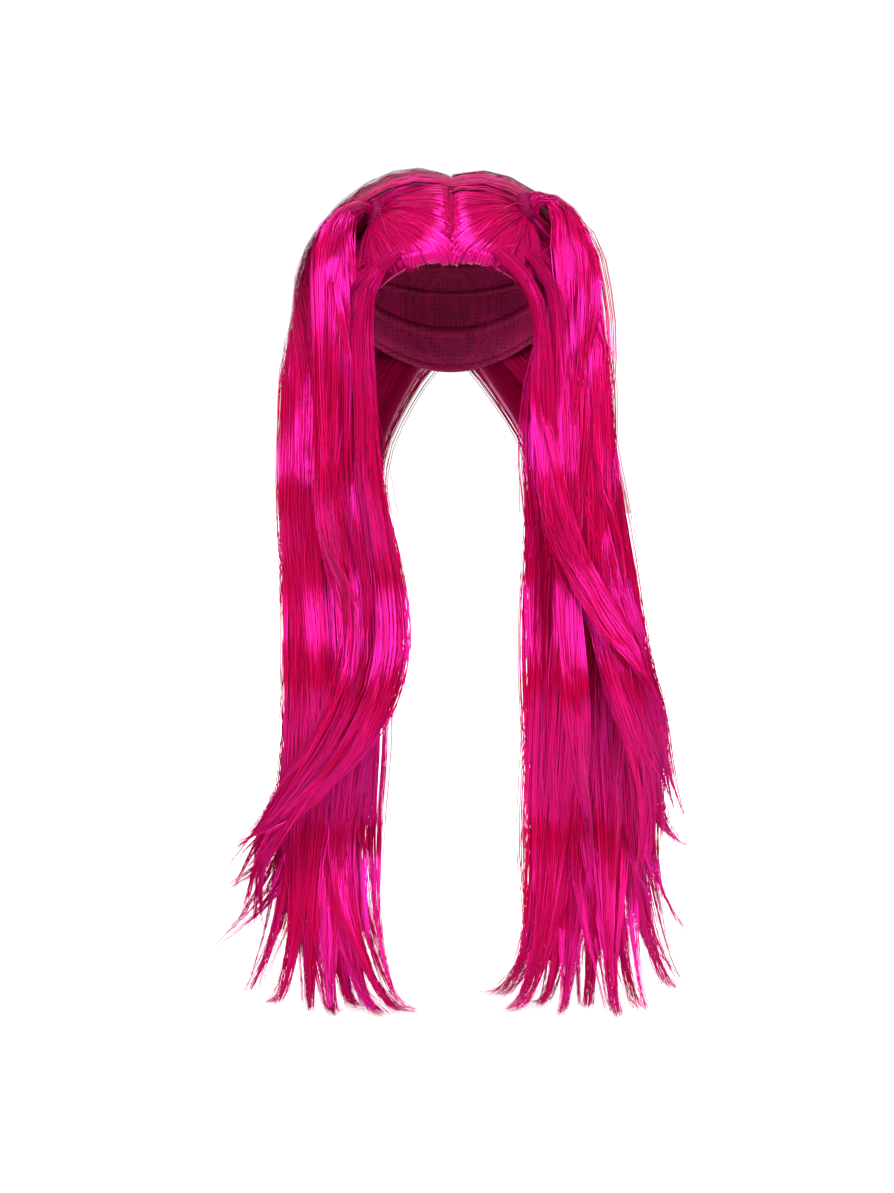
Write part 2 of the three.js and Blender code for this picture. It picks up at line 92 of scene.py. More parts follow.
def loft(rings, closed_rings=True, closed_run=False):
    """Points and faces of a skin over rings of the same count. The rings face out if they turn left."""
    runs, sides, _ = rings.shape
    run = np.arange(runs if closed_run else runs - 1)
    side = np.arange(sides if closed_rings else sides - 1)
    here, there = np.meshgrid(run, side, indexing="ij")
    next_run = (here + 1) % runs
    next_side = (there + 1) % sides
    corners = (
        here * sides + there,
        here * sides + next_side,
        next_run * sides + next_side,
        next_run * sides + there,
    )
    return rings.reshape(-1, 3), np.stack(corners, axis=-1).reshape(-1, 4)


def round_rings(radii, heights):
    """Level rings of points about the upright axis."""
    turn = np.arange(ROUND_SIDES) * 2 * math.pi / ROUND_SIDES
    circle = np.stack([np.cos(turn), np.sin(turn), np.zeros(ROUND_SIDES)], axis=-1)
    return np.stack([circle * radius + (0, 0, height) for radius, height in zip(radii, heights)])


paper, paper_shader, _ = plain_material("paper")
paper_shader.inputs["Base Color"].default_value = PAPER_WHITE
paper_shader.inputs["Roughness"].default_value = PAPER_ROUGHNESS
floor_radii = np.append(np.geomspace(FLOOR_RADIUS, FLOOR_INNER_RADIUS, FLOOR_RINGS - 1), 1e-4)
floor_rings = round_rings(floor_radii, [FLOOR_Z] * FLOOR_RINGS)
floor = add_object("paper_floor", mesh_of("paper_floor", *loft(floor_rings)))
floor.data.materials.append(paper)

white, white_shader, _ = plain_material("white_dome")
white_shader.inputs["Base Color"].default_value = (0, 0, 0, 1)
white_shader.inputs["Emission Color"].default_value = (1, 1, 1, 1)
white_shader.inputs["Emission Strength"].default_value = 1.0
rise = np.linspace(0, 0.99 * math.pi / 2, DOME_RINGS)
dome_rings = round_rings(DOME_RADIUS * np.cos(rise), FLOOR_Z - DOME_DROP + DOME_RADIUS * np.sin(rise))
dome = add_object("white_dome", mesh_of("white_dome", *loft(dome_rings)))
dome.data.materials.append(white)
dome.visible_diffuse = False
dome.visible_glossy = False
dome.visible_shadow = False

world = bpy.data.worlds.new("surround")
world.use_nodes = True
world.node_tree.nodes["Background"].inputs["Color"].default_value = SURROUND_COLOUR
world.node_tree.nodes["Background"].inputs["Strength"].default_value = SURROUND_STRENGTH
bpy.context.scene.world = world

# name, place, aim, width, height, watts
LAMPS = (
    ("soft_box_left", (-0.75, -1.9, 0.5), (0.0, 0.0, -0.2), 0.8, 0.5, 30),
    ("soft_box_right", (0.85, -1.85, 0.5), (0.0, 0.0, -0.2), 0.8, 0.5, 21),
    ("soft_box_above", (0.0, -0.9, 1.4), (0.0, 0.0, -0.1), 1.0, 0.6, 48),
    ("soft_box_behind", (0.0, 1.5, 1.0), (0.0, 0.0, -0.2), 1.8, 1.0, 9),
)
PAPER_LIGHT = 7.0
PAPER_LIGHT_ANGLE = math.radians(140)
all_but_paper = bpy.data.collections.new("all_but_paper")
all_but_paper.objects.link(floor)
all_but_paper.collection_objects[0].light_linking.link_state = "EXCLUDE"
for name, place, aim, width, height, watts in LAMPS:
    lamp = bpy.data.lights.new(name, "AREA")
    lamp.shape = "RECTANGLE"
    lamp.size = width
    lamp.size_y = height
    lamp.energy = watts
    holder = bpy.data.objects.new(name, lamp)
    bpy.context.scene.collection.objects.link(holder)
    holder.location = place
    way = np.subtract(aim, place)
    holder.rotation_euler = (math.atan2(math.hypot(way[0], way[1]), -way[2]), 0, math.atan2(-way[0], way[1]))
    holder.light_linking.receiver_collection = all_but_paper

only_paper = bpy.data.collections.new("only_paper")
only_paper.objects.link(floor)
paper_sun = bpy.data.lights.new("paper_light", "SUN")
paper_sun.energy = PAPER_LIGHT
paper_sun.angle = PAPER_LIGHT_ANGLE
paper_light = bpy.data.objects.new("paper_light", paper_sun)
paper_light.location = (0, 0, 2)
paper_light.light_linking.receiver_collection = only_paper
bpy.context.scene.collection.objects.link(paper_light)

camera = bpy.data.objects.new("camera", bpy.data.cameras.new("camera"))
bpy.context.scene.collection.objects.link(camera)
camera.location = CAMERA_PLACE
camera.rotation_euler = (CAMERA_PITCH, 0, 0)
camera.data.lens = CAMERA_LENS
camera.data.sensor_width = SENSOR_WIDTH
bpy.context.scene.camera = camera
bpy.context.scene.view_settings.view_transform = "Standard"


# Cap: a knitted net shell in dark pink that grips the head, with a stitched elastic edge.
# Rows of sewn tape run round it inside, which hold the hair, and a stitched seam runs up its middle.
HEAD_HALF_WIDTH = 76
HEAD_HALF_LENGTH = 95
CROWN_RISE = 90
NAPE_DROP = 150
CAP_WALL = 1.6
CAP_INNER_LIFT = 0.2
CAP_TURNS = 96
CAP_ROWS = 24
CROWN_SHARE = 0.002
CAP_ARC = 150
# turn from the face in degrees, tilt of the edge from the crown in degrees
CAP_EDGE = ((0, 65), (25, 67), (45, 75), (68, 100), (85, 104), (110, 97), (145, 107), (180, 112))
TAPE_SHARES = (0.18, 0.3, 0.42, 0.54, 0.66, 0.78, 0.9)
TAPE_HALF_WIDTH = 2.2
TAPE_THICKNESS = 0.6
TAPE_SINK = 0.3
EDGE_RADIUS = 1.5
EDGE_ARC = 130
EDGE_LIFT = 1
THREAD_SIDES = 8
SEAM_TILTS = (27, 63)
SEAM_STITCHES = 38
SEAM_LIFT = 6.0
STITCH_RADIUS = 0.5
STITCH_HALF_LENGTH = 1.5
STITCH_RINGS = 7
STITCH_SLANT = 0.35
NET_SCALE = 300
NET_THREAD = (0.3, 0.003, 0.07)
NET_HOLE = (0.12, 0.0012, 0.028)


def head_direction(sign, turn, tilt):
    """Way from the middle of the head, given its turn from the face and its tilt from the crown."""
    turn, tilt = np.radians(turn), np.radians(tilt)
    return np.stack([sign * np.sin(tilt) * np.sin(turn), -np.sin(tilt) * np.cos(turn), np.cos(tilt)], axis=-1)


def head_point(direction, lift):
    """Point in millimetres that lies a lift above the head in a given direction."""
    rise = np.where(direction[..., 2] > 0, CROWN_RISE, NAPE_DROP)
    return np.stack(
        [
            direction[..., 0] * (HEAD_HALF_WIDTH + lift),
            direction[..., 1] * (HEAD_HALF_LENGTH + lift),
            direction[..., 2] * (rise + lift) - CROWN_RISE,
        ],
        axis=-1,
    )


def edge_tilt(turn):
    """Tilt of the cap's edge at a turn from the face, alike on both sides."""
    turns, tilts = np.transpose(CAP_EDGE)
    near = np.asarray(turn)[..., None] + np.linspace(-18, 18, 13)
    return np.interp(180 - np.abs(180 - near % 360), turns, tilts).mean(axis=-1)


def gathered(parts):
    """Several (points, faces) joined into one."""
    points, quads, start = [], [], 0
    for part_points, part_quads in parts:
        points.append(part_points)
        quads.append(part_quads + start)
        start += len(part_points)
    return np.vstack(points), np.vstack(quads)


def cap_parts():
    """Points and faces of the shell, its inner tapes, its rolled edge and the stitches of its seam."""
    turn = np.arange(CAP_TURNS) * 360 / CAP_TURNS
    edge = edge_tilt(turn)

    def ring(share, lift):
        return head_point(head_direction(1, turn, edge * share), lift)

    shares = np.linspace(CROWN_SHARE, 1, CAP_ROWS)
    inner = [ring(share, CAP_INNER_LIFT) for share in shares]
    outer = [ring(share, CAP_WALL) for share in shares[::-1]]
    parts = [loft(np.stack(inner + outer), closed_run=True)]
    half = TAPE_HALF_WIDTH / CAP_ARC
    section = ((-half, TAPE_SINK), (half, TAPE_SINK), (half, -TAPE_THICKNESS), (-half, -TAPE_THICKNESS))
    for share in TAPE_SHARES:
        tape = [ring(share + step, lift) for step, lift in section]
        parts.append(loft(np.stack(tape), closed_run=True))
    angle = np.arange(THREAD_SIDES) * 2 * math.pi / THREAD_SIDES
    rim = []
    for a in angle:
        rim.append(ring(1 + EDGE_RADIUS / EDGE_ARC * math.cos(a), EDGE_LIFT + EDGE_RADIUS * math.sin(a)))
    parts.append(loft(np.stack(rim), closed_run=True))
    # stitches of the seam, lying across it by turns a little forward and back
    for k, tilt in enumerate(np.linspace(*SEAM_TILTS, SEAM_STITCHES)):
        middle = head_point(head_direction(1, 0, tilt), SEAM_LIFT)
        way = np.array([1, STITCH_SLANT * (-1) ** k, 0])
        rings = []
        for run in np.linspace(-1, 1, STITCH_RINGS):
            size = STITCH_RADIUS * math.sqrt(1.04 - run * run)
            across = np.stack([np.zeros(THREAD_SIDES), np.cos(angle), np.sin(angle)], axis=-1) * size
            rings.append(middle + across + STITCH_HALF_LENGTH * run * way - (0, 0, run * run))
        parts.append(loft(np.stack(rings)))
    return gathered(parts)


def colour_ramp(tree, value, stops):
    """Colours along a value, from places and colours of which the first two are the outermost."""
    ramp = tree.nodes.new("ShaderNodeValToRGB")
    elements = ramp.color_ramp.elements
    for k, (place, colour) in enumerate(stops):
        stop = elements[k] if k < 2 else elements.new(place)
        stop.position = place
        stop.color = (*colour, 1)
    tree.links.new(value, ramp.inputs["Fac"])
    return ramp.outputs["Color"]


def multiplied(tree, first, second):
    """Product of two colours."""
    mix = tree.nodes.new("ShaderNodeMix")
    mix.data_type = "RGBA"
    mix.blend_type = "MULTIPLY"
    mix.inputs["Factor"].default_value = 1.0
    tree.links.new(first, mix.inputs["A"])
    tree.links.new(second, mix.inputs["B"])
    return mix.outputs["Result"]


def cap_material():
    """Matt knitted net: fine threads round small holes, with a slow change of tone."""
    made, shader, tree = plain_material("cap_net")
    place = tree.nodes.new("ShaderNodeTexCoord")
    net = tree.nodes.new("ShaderNodeTexVoronoi")
    net.feature = "DISTANCE_TO_EDGE"
    net.inputs["Scale"].default_value = NET_SCALE
    net.inputs["Randomness"].default_value = 0.35
    tree.links.new(place.outputs["Object"], net.inputs["Vector"])
    tones = colour_ramp(tree, net.outputs["Distance"], ((0.1, NET_THREAD), (0.28, NET_HOLE)))
    cloud = tree.nodes.new("ShaderNodeTexNoise")
    cloud.inputs["Scale"].default_value = 45
    cloud.inputs["Detail"].default_value = 4
    tree.links.new(place.outputs["Object"], cloud.inputs["Vector"])
    shade = colour_ramp(tree, cloud.outputs["Fac"], ((0.3, (0.75, 0.75, 0.75)), (0.7, (1.1, 1.1, 1.1))))
    tree.links.new(multiplied(tree, tones, shade), shader.inputs["Base Color"])
    bump = tree.nodes.new("ShaderNodeBump")
    bump.invert = True
    bump.inputs["Strength"].default_value = 0.6
    bump.inputs["Distance"].default_value = 0.0006
    tree.links.new(net.outputs["Distance"], bump.inputs["Height"])
    tree.links.new(bump.outputs["Normal"], shader.inputs["Normal"])
    shader.inputs["Roughness"].default_value = 0.75
    shader.inputs["Specular IOR Level"].default_value = 0.2
    return made


cap_points, cap_quads = cap_parts()
cap_net = cap_material()
cap = add_object("net_cap", mesh_of("net_cap", cap_points * MM, cap_quads))
cap.data.materials.append(cap_net)
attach(cap, "root")
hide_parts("cap")


# Back hair: glossy pink fibre from behind the crown down to the nape, parted in the middle.
# It is drawn forward round the neck on both sides, and hangs behind the side hair in pointed locks.
GUIDE_POINTS = 64
STRAND_HALF_WIDTH = 0.22
# places along a strand where it can bend, close together over the head and at the tip
LONG_BENDS = (
    0, 0.015, 0.04, 0.07, 0.105, 0.145, 0.19, 0.24, 0.295, 0.355, 0.415, 0.475, 0.535, 0.595, 0.655, 0.715,
    0.775, 0.83, 0.88, 0.925, 0.965, 1,
)
LOOSE_BENDS = (
    0, 0.05, 0.1, 0.16, 0.22, 0.28, 0.34, 0.4, 0.46, 0.52, 0.58, 0.64, 0.7, 0.76, 0.82, 0.88, 0.93, 0.97, 1,
)
SHORT_BENDS = (0, 0.03, 0.06, 0.1, 0.16, 0.24, 0.33, 0.43, 0.53, 0.64, 0.75, 0.85, 0.93, 1)
ROOT_LIFT = 6
FRONT_LIMIT = -131
FLOOR_BEND = 4
FLOOR_GAP = 1.2
FLOOR_PILE = 4
GOLDEN_SHARE = 0.618
# how late the ends turn out to the side, to the front and down
FLARE_BENDS = (2.6, 2.2, 1.5)
# where along a strand it starts to turn out, less the further its tip lies, and the limits of that
FLARE_START = 0.89
FLARE_START_PER_MM = 0.0018
FLARE_LIMITS = (0.68, 0.92)
# how far and where along them the strands of one point draw together, and how they scatter about it
TIP_DRAW = 0.88
TIP_DRAWS = (0.8, 0.99)
LOCK_TIP_SCATTER = 2.2
STRAND_TIP_SCATTER = 0.9
# share of their length over which the strands of a lock end, which makes a point
END_SPREAD = 0.11
TRESS_TONE_SPREAD = 0.06
STRAND_TONE_SPREAD = 0.14
ROLL_SPREAD = 0.18
# depth of the sway of a tress and of a lock against its breadth
TRESS_DEPTH_SHARE = 0.75
LOCK_DEPTH_SHARE = 0.7
# least, usual and most that a stray strand leaves its lock, and its width against the others
STRAY_LEAST = 2
STRAY_USUAL = 4.5
STRAY_MOST = 16
STRAY_WIDTH = 0.5
WAVE_DEPTH = 8
WAVE_LENGTH = 190
WAVE_AT = 335
WAVE_BUILDS = (170, 290)
# dark tone of the bodies inside the locks: painted shade that shows between the strands
CORE_SHADE_TONE = 0.12
CORE_END = 0.9
# least drop from where hair leaves the head to its curtain, and from the curtain to its tip
LEAVE_DROP = 30
TIP_DROP = 90
OVER_HEAD = (0, 0.1, 0.25, 0.45, 0.72, 1)
BACK_LAYER_DEPTH = 14
BACK_HALF_WIDTH = 18
BACK_HALF_DEPTH = 7
# root turn and tilt, leaving turn and tilt, lift there, place across the curtain, place to the rear
BACK_LOCKS = (
    (179, 33, 111, 82, 28, 0.94, 0.30),
    (179, 50, 126, 92, 21, 0.72, 0.48),
    (179, 68, 139, 99, 15, 0.50, 0.66),
    (179, 82, 148, 104, 11, 0.28, 0.85),
    (179, 96, 157, 108, 8, 0.08, 1.00),
)
# height, inner edge, outer edge, front, back of the curtain of each side
LEFT_CURTAIN = (
    (-130, 72, 116, -26, 100),
    (-165, 66, 116, -35, 66),
    (-205, 60, 116, -45, 30),
    (-275, 58, 119, -56, -6),
    (-345, 57, 117, -62, -28),
    (-425, 64, 121, -66, -40),
    (-495, 72, 129, -70, -46),
    (-555, 74, 130, -76, -50),
)
RIGHT_CURTAIN = (
    (-130, 72, 104, -26, 100),
    (-165, 70, 108, -35, 66),
    (-205, 68, 113, -45, 30),
    (-275, 72, 126, -56, -6),
    (-345, 70, 138, -62, -28),
    (-425, 66, 146, -66, -40),
    (-495, 62, 148, -70, -46),
    (-555, 63, 140, -76, -50),
)
# ends of the back guides: out from the middle, y, z
LEFT_BACK_TIPS = ((148, -56, -606), (122, -70, -612), (98, -76, -616), (84, -76, -612), (72, -70, -600))
RIGHT_BACK_TIPS = ((166, -62, -596), (140, -70, -610), (112, -76, -616), (84, -76, -614), (64, -70, -600))
# tips that the locks of a curtain flare to, inner ones first: out from the middle, y, z, share of locks
LEFT_FLARES = (
    (18, -104, -658, 0.14), (44, -114, -658, 0.15), (66, -92, -658, 0.15), (86, -114, -658, 0.17),
    (108, -100, -658, 0.14), (144, -80, -656, 0.1), (172, -50, -650, 0.07), (174, -80, -530, 0.04),
    (194, -70, -584, 0.03), (166, -70, -566, 0.04),
)
RIGHT_FLARES = (
    (18, -54, -654, 0.09), (36, -102, -658, 0.12), (60, -84, -658, 0.12), (80, -112, -658, 0.14),
    (102, -92, -658, 0.12), (128, -116, -658, 0.14), (154, -104, -658, 0.11), (186, -36, -650, 0.06),
    (196, -14, -648, 0.04), (186, -70, -574, 0.04), (185, -70, -502, 0.04),
)
# name, sign of x, fullness over the head, curtain
SIDES = (("left", -1, 1.2, LEFT_CURTAIN), ("right", 1, 0.85, RIGHT_CURTAIN))


def unit(vectors):
    """Vectors of the same ways with length 1."""
    return vectors / np.maximum(np.linalg.norm(vectors, axis=-1, keepdims=True), 1e-12)


def eased(share, start, end):
    """Smooth step from 0 at start to 1 at end."""
    share = np.clip((share - start) / (end - start), 0, 1)
    return share * share * (3 - 2 * share)


def smooth_path(points, count=GUIDE_POINTS):
    """Even points along a smooth curve through the given ones."""
    p = np.asarray(points, float)
    p = np.vstack([2 * p[0] - p[1], p, 2 * p[-1] - p[-2]])
    knots = np.concatenate([[0], np.cumsum(np.sqrt(np.linalg.norm(np.diff(p, axis=0), axis=1)))])
    fine = []
    for i in range(1, len(p) - 2):
        t = np.linspace(knots[i], knots[i + 1], 16, endpoint=False)[:, None]
        t0, t1, t2, t3 = knots[i - 1 : i + 3]
        a1 = ((t1 - t) * p[i - 1] + (t - t0) * p[i]) / (t1 - t0)
        a2 = ((t2 - t) * p[i] + (t - t1) * p[i + 1]) / (t2 - t1)
        a3 = ((t3 - t) * p[i + 1] + (t - t2) * p[i + 2]) / (t3 - t2)
        b1 = ((t2 - t) * a1 + (t - t0) * a2) / (t2 - t0)
        b2 = ((t3 - t) * a2 + (t - t1) * a3) / (t3 - t1)
        fine.append(((t2 - t) * b1 + (t - t1) * b2) / (t2 - t1))
    fine = np.vstack(fine + [p[-2:-1]])
    length = np.concatenate([[0], np.cumsum(np.linalg.norm(np.diff(fine, axis=0), axis=1))])
    at = np.linspace(0, length[-1], count)
    return np.stack([np.interp(at, length, fine[:, k]) for k in range(3)], axis=-1)


def over_head(start, end, share):
    """Direction part of the way round the head from one direction to another."""
    angle = math.acos(float(np.clip(np.dot(start, end), -1, 1)))
    return (math.sin((1 - share) * angle) * start + math.sin(share * angle) * end) / math.sin(angle)


def facing(points, sign, forward, hangs):
    """Way that hair faces: out from the head near it, and out to the front or rear where it hangs,
    which it does between two depths under the crown."""
    head = points - (0, 0, -CROWN_RISE)
    head = head / (HEAD_HALF_WIDTH**2, HEAD_HALF_LENGTH**2, CROWN_RISE**2)
    head[..., 2] = np.maximum(head[..., 2], 0)
    hanging = np.array([sign * 0.2, -0.98 * forward, 0])
    share = eased(-points[..., 2:], *hangs)
    return unit(unit(head) * (1 - share) + hanging * share)


def guide_row(paths, sign, forward, half_width, half_depth, rolled=0, hangs=(60, 150)):
    """Guides of a row of locks: their paths, the ways out and across, and their half sizes along them.
    Over the first, rolled points the hair turns up round an edge, and its way across stays the same."""
    path = np.stack([smooth_path(p) for p in paths])
    down = -path[..., 2]
    wave = np.sin(2 * math.pi * (down - WAVE_AT) / WAVE_LENGTH)
    path[..., 1] -= WAVE_DEPTH * wave * eased(down, *WAVE_BUILDS)
    along = unit(np.gradient(path, axis=1))
    across = unit(np.cross(along, facing(path, sign, forward, hangs)))
    across[:, :rolled] = across[:, rolled : rolled + 1]
    share = np.linspace(0, 1, GUIDE_POINTS)
    return {
        "path": path,
        "out": unit(np.cross(across, along)),
        "across": across,
        "wide": np.broadcast_to(half_width, path.shape[:2]),
        "deep": np.broadcast_to(half_depth, path.shape[:2]),
        "share": share,
    }


def between(rows, place):
    """Smoothly blended rows of guide values, at a place in the row for each strand and point."""
    last = len(rows) - 1
    if last == 0:
        return np.broadcast_to(rows[0], place.shape + rows.shape[2:])
    k = np.arange(rows.shape[1])
    j = np.clip(np.floor(place).astype(int), 0, last - 1)
    f = place - j
    if rows.ndim == 3:
        f = f[..., None]
    p0, p1, p2, p3 = (rows[np.clip(j + step, 0, last), k] for step in (-1, 0, 1, 2))
    return p1 + 0.5 * f * (p2 - p0 + f * (2 * p0 - 5 * p1 + 4 * p2 - p3 + f * (3 * (p1 - p2) + p3 - p0)))


def comb(row, strands, clumps, seed, half=4.2, round_off=45.0, wander=2.1, stray=0.05, short=0.15, tips=None,
         tresses=9, tress_sway=7.5, tip_gather=0.75, mid_gather=0.15, root_squeeze=0.5, root_dip=1.5,
         outer=0.4, tilt=0.1, thick=0.7, dye_and_shade=0.5, variety=1.0, loosens=(0.05, 0.4), stretch=(0, 1),
         bends=LONG_BENDS):
    """Lays strands round a row of guides. Strands make flat locks, locks make broad tresses that sway
    together, and every lock flares out to one of the tips. A lock has a half width, a depth given by thick
    and round_off, and a tilt. It wanders, some strands stray from it, and some locks are short by a share."""
    draw = np.random.default_rng(seed)
    share = row["share"]
    turn = 2 * math.pi * share
    last = len(row["path"]) - 1
    # tresses side by side along the row
    tress_sway = tress_sway * draw.uniform(0.3, 1, tresses)
    tress_wave = draw.uniform(0, 1, (tresses, 4))
    tress_tone = draw.normal(0, TRESS_TONE_SPREAD * variety, tresses)
    tress_out = draw.normal(0, 0.25, tresses)
    # locks, spread along the row and over the section of a guide, more of them outside than inside
    lock_place = (np.arange(clumps) + draw.random(clumps)) / clumps * last
    in_tress = lock_place / max(last, 1) * tresses if last else draw.uniform(0, tresses, clumps)
    in_tress = np.clip((in_tress + draw.normal(0, 0.2, clumps)).astype(int), 0, tresses - 1)
    lock_a = draw.uniform(-0.85, 0.85, clumps)
    lock_b = np.clip(draw.normal(outer, 0.45, clumps) + tress_out[in_tress], -1, 1) * np.sqrt(1 - lock_a**2)
    lock_tone = tress_tone[in_tress] + draw.normal(0, TRESS_TONE_SPREAD * variety, clumps)
    one_in_ten = draw.random(clumps) < 0.1
    much_shorter = draw.uniform(0.4, 1, clumps)
    lock_short = np.where(one_in_ten, much_shorter, 0.6 * draw.random(clumps) ** 1.6)
    lock_tilt = draw.normal(0, tilt, clumps)
    waves = draw.uniform(0, 1, (clumps, 6))
    reach = wander * (0.4 + 2.2 * draw.random(clumps) ** 4)
    # strands side by side in their lock, thinning out to its edges
    of = np.sort(draw.integers(0, clumps, strands))
    tress = in_tress[of]
    place = np.clip(lock_place[of] + draw.normal(0, 0.03, strands), -0.2, last + 0.2)
    lane = np.repeat(place[:, None], GUIDE_POINTS, axis=1)
    aside = half * np.clip(draw.normal(0, 0.7, strands), -2, 2)
    above = draw.normal(0, thick, strands)
    astray = np.minimum(STRAY_LEAST + draw.exponential(STRAY_USUAL, strands), STRAY_MOST)
    loose = np.where(draw.random(strands) < stray, astray, draw.uniform(0.1, 0.5, strands))
    phase = draw.uniform(0, 2 * math.pi, (strands, 2))
    pace = draw.uniform(0.6, 1.5, (strands, 2))
    end = 1 - short * lock_short[of] - END_SPREAD * draw.random(strands) ** 0.9
    # where the strands lie across the guides and out from them
    path = between(row["path"], lane)
    out = unit(between(row["out"], lane))
    across = unit(between(row["across"], lane))
    wide = between(row["wide"], lane)
    deep = between(row["deep"], lane)
    taper = 1 - 0.5 * eased(share, 0.75, 1)
    squeeze = root_squeeze + (1 - root_squeeze) * eased(share, 0, 0.13)
    gather = 1 - mid_gather * eased(share, 0.15, 0.5) - (tip_gather - mid_gather) * eased(share, 0.75, 1)
    big = tress_sway[tress, None] * eased(share, 0.15, 0.5)
    big_a = np.sin((0.9 + 0.8 * tress_wave[tress, :1]) * turn + 6.3 * tress_wave[tress, 1:2]) * big
    big_b = np.sin((0.9 + 0.8 * tress_wave[tress, 2:3]) * turn + 6.3 * tress_wave[tress, 3:]) * big
    big_b = big_b * TRESS_DEPTH_SHARE
    sway = reach[of, None] * eased(share, *loosens)
    sway_a = np.sin((1.1 + 1.2 * waves[of, :1]) * turn + 6.3 * waves[of, 1:2]) * sway
    sway_b = np.sin((1.5 + 2.0 * waves[of, 2:3]) * turn + 6.3 * waves[of, 3:4]) * sway * LOCK_DEPTH_SHARE
    roam = loose[:, None] * eased(share, 0.03, 0.5)
    roam_a = np.sin(pace[:, :1] * turn + phase[:, :1]) * roam
    roam_b = np.sin(pace[:, 1:] * turn + phase[:, 1:]) * roam
    lean = lock_tilt[of, None] + tilt * np.sin((0.8 + waves[of, 4:5]) * turn + 6.3 * waves[of, 5:])
    lean = lean * eased(share, 0.04, 0.3)
    flat = aside[:, None] * gather
    rise = above[:, None] * gather - flat**2 / (2 * round_off)
    go_a = lock_a[of, None] * wide * taper + flat * np.cos(lean) - rise * np.sin(lean)
    go_a = go_a + big_a + sway_a + roam_a
    go_b = (lock_b[of, None] * deep * taper + flat * np.sin(lean) + rise * np.cos(lean)) * squeeze
    go_b = go_b + big_b + sway_b + roam_b - root_dip * (1 - eased(share, 0, 0.05))
    path = path + across * go_a[..., None] + out * go_b[..., None]
    if tips is not None:
        tips = np.array(tips, float)
        order = lock_place / last + draw.normal(0, 0.035, clumps) if last else draw.random(clumps)
        pick = np.searchsorted(np.cumsum(tips[:, 3]) / tips[:, 3].sum(), np.clip(order, 0, 0.999))
        # strands that share a tip draw together to one curved point before they turn out to it
        group = pick[of]
        axis = np.zeros((len(tips), *path.shape[1:]))
        np.add.at(axis, group, path)
        axis /= np.maximum(np.bincount(group, minlength=len(tips)), 1)[:, None, None]
        path = path + (axis[group] - path) * (TIP_DRAW * eased(share, *TIP_DRAWS)[:, None])
        goal = tips[pick, :3] + draw.normal(0, LOCK_TIP_SCATTER, (clumps, 3)) * (1, 1, 0.3)
        goal = goal[of] + draw.normal(0, STRAND_TIP_SCATTER, (strands, 3)) - axis[group, -1]
        begin = FLARE_START - FLARE_START_PER_MM * np.linalg.norm(goal, axis=-1)
        begin = begin + draw.normal(0, 0.012, clumps)[of]
        begin = np.clip(begin, *FLARE_LIMITS)[:, None]
        flare = np.clip((share - begin) / (1 - begin), 0, 1)[..., None] ** FLARE_BENDS
        path = path + goal[:, None] * flare
    roll = lean - flat / round_off + draw.normal(0, ROLL_SPREAD, strands)[:, None]
    # the piece's dye; where it is below the fibre's own 0.5, the darkening is painted shade
    tone = dye_and_shade + lock_tone[of] + draw.normal(0, STRAND_TONE_SPREAD * variety, strands)
    width = draw.uniform(0.75, 1.3, strands) * np.where(loose > STRAY_LEAST, STRAY_WIDTH, 1)
    # points of each strand, from its root to its own end
    step = np.array(bends)
    at = end[:, None] * step * (GUIDE_POINTS - 1)
    low = np.minimum(at.astype(int), GUIDE_POINTS - 2)
    rest = at - low
    strand = np.arange(strands)[:, None]

    def on_rings(values):
        part = rest if values.ndim == 2 else rest[..., None]
        return values[strand, low] * (1 - part) + values[strand, low + 1] * part

    thin = 1 - 0.5 * eased(step, 0.85, 1)
    return {
        "path": on_rings(path),
        "across": on_rings(across),
        "half": STRAND_HALF_WIDTH * width[:, None] * thin,
        "tone": np.clip(tone, 0.04, 0.96),
        "along": stretch[0] + (stretch[1] - stretch[0]) * at / (GUIDE_POINTS - 1),
        "roll": on_rings(roll),
    }


def strand_parts(combed):
    """Points, faces, and tone and place along the hair, of strands that are fine flat strips."""
    path = combed["path"].copy()
    path[..., 1] = np.maximum(path[..., 1], FRONT_LIMIT)
    # hair that reaches the floor bends softly and lies on it, in a thin pile with a height for each strand
    lowest = FLOOR_Z / MM + FLOOR_GAP + FLOOR_PILE * (np.arange(len(path))[:, None] * GOLDEN_SHARE % 1)
    path[..., 2] = lowest + FLOOR_BEND * np.logaddexp(0, (path[..., 2] - lowest) / FLOOR_BEND)
    along = unit(np.gradient(path, axis=1))
    side = combed["across"]
    side = unit(side - along * (side * along).sum(axis=-1, keepdims=True))
    out = np.cross(side, along)
    roll = combed["roll"][..., None]
    side = (side * np.cos(roll) + out * np.sin(roll)) * combed["half"][..., None]
    points = np.stack([path + side, path - side], axis=2)
    strands, rings = path.shape[:2]
    ring = (np.arange(strands)[:, None] * rings + np.arange(rings - 1)) * 2
    quads = np.stack([ring, ring + 1, ring + 3, ring + 2], axis=-1)
    tone = np.broadcast_to(combed["tone"][:, None, None] + np.array([-0.02, 0.02]), (strands, rings, 2))
    place = np.broadcast_to(combed["along"][..., None], (strands, rings, 2))
    return points.reshape(-1, 3), quads.reshape(-1, 4), np.stack([tone, place], axis=-1).reshape(-1, 2)


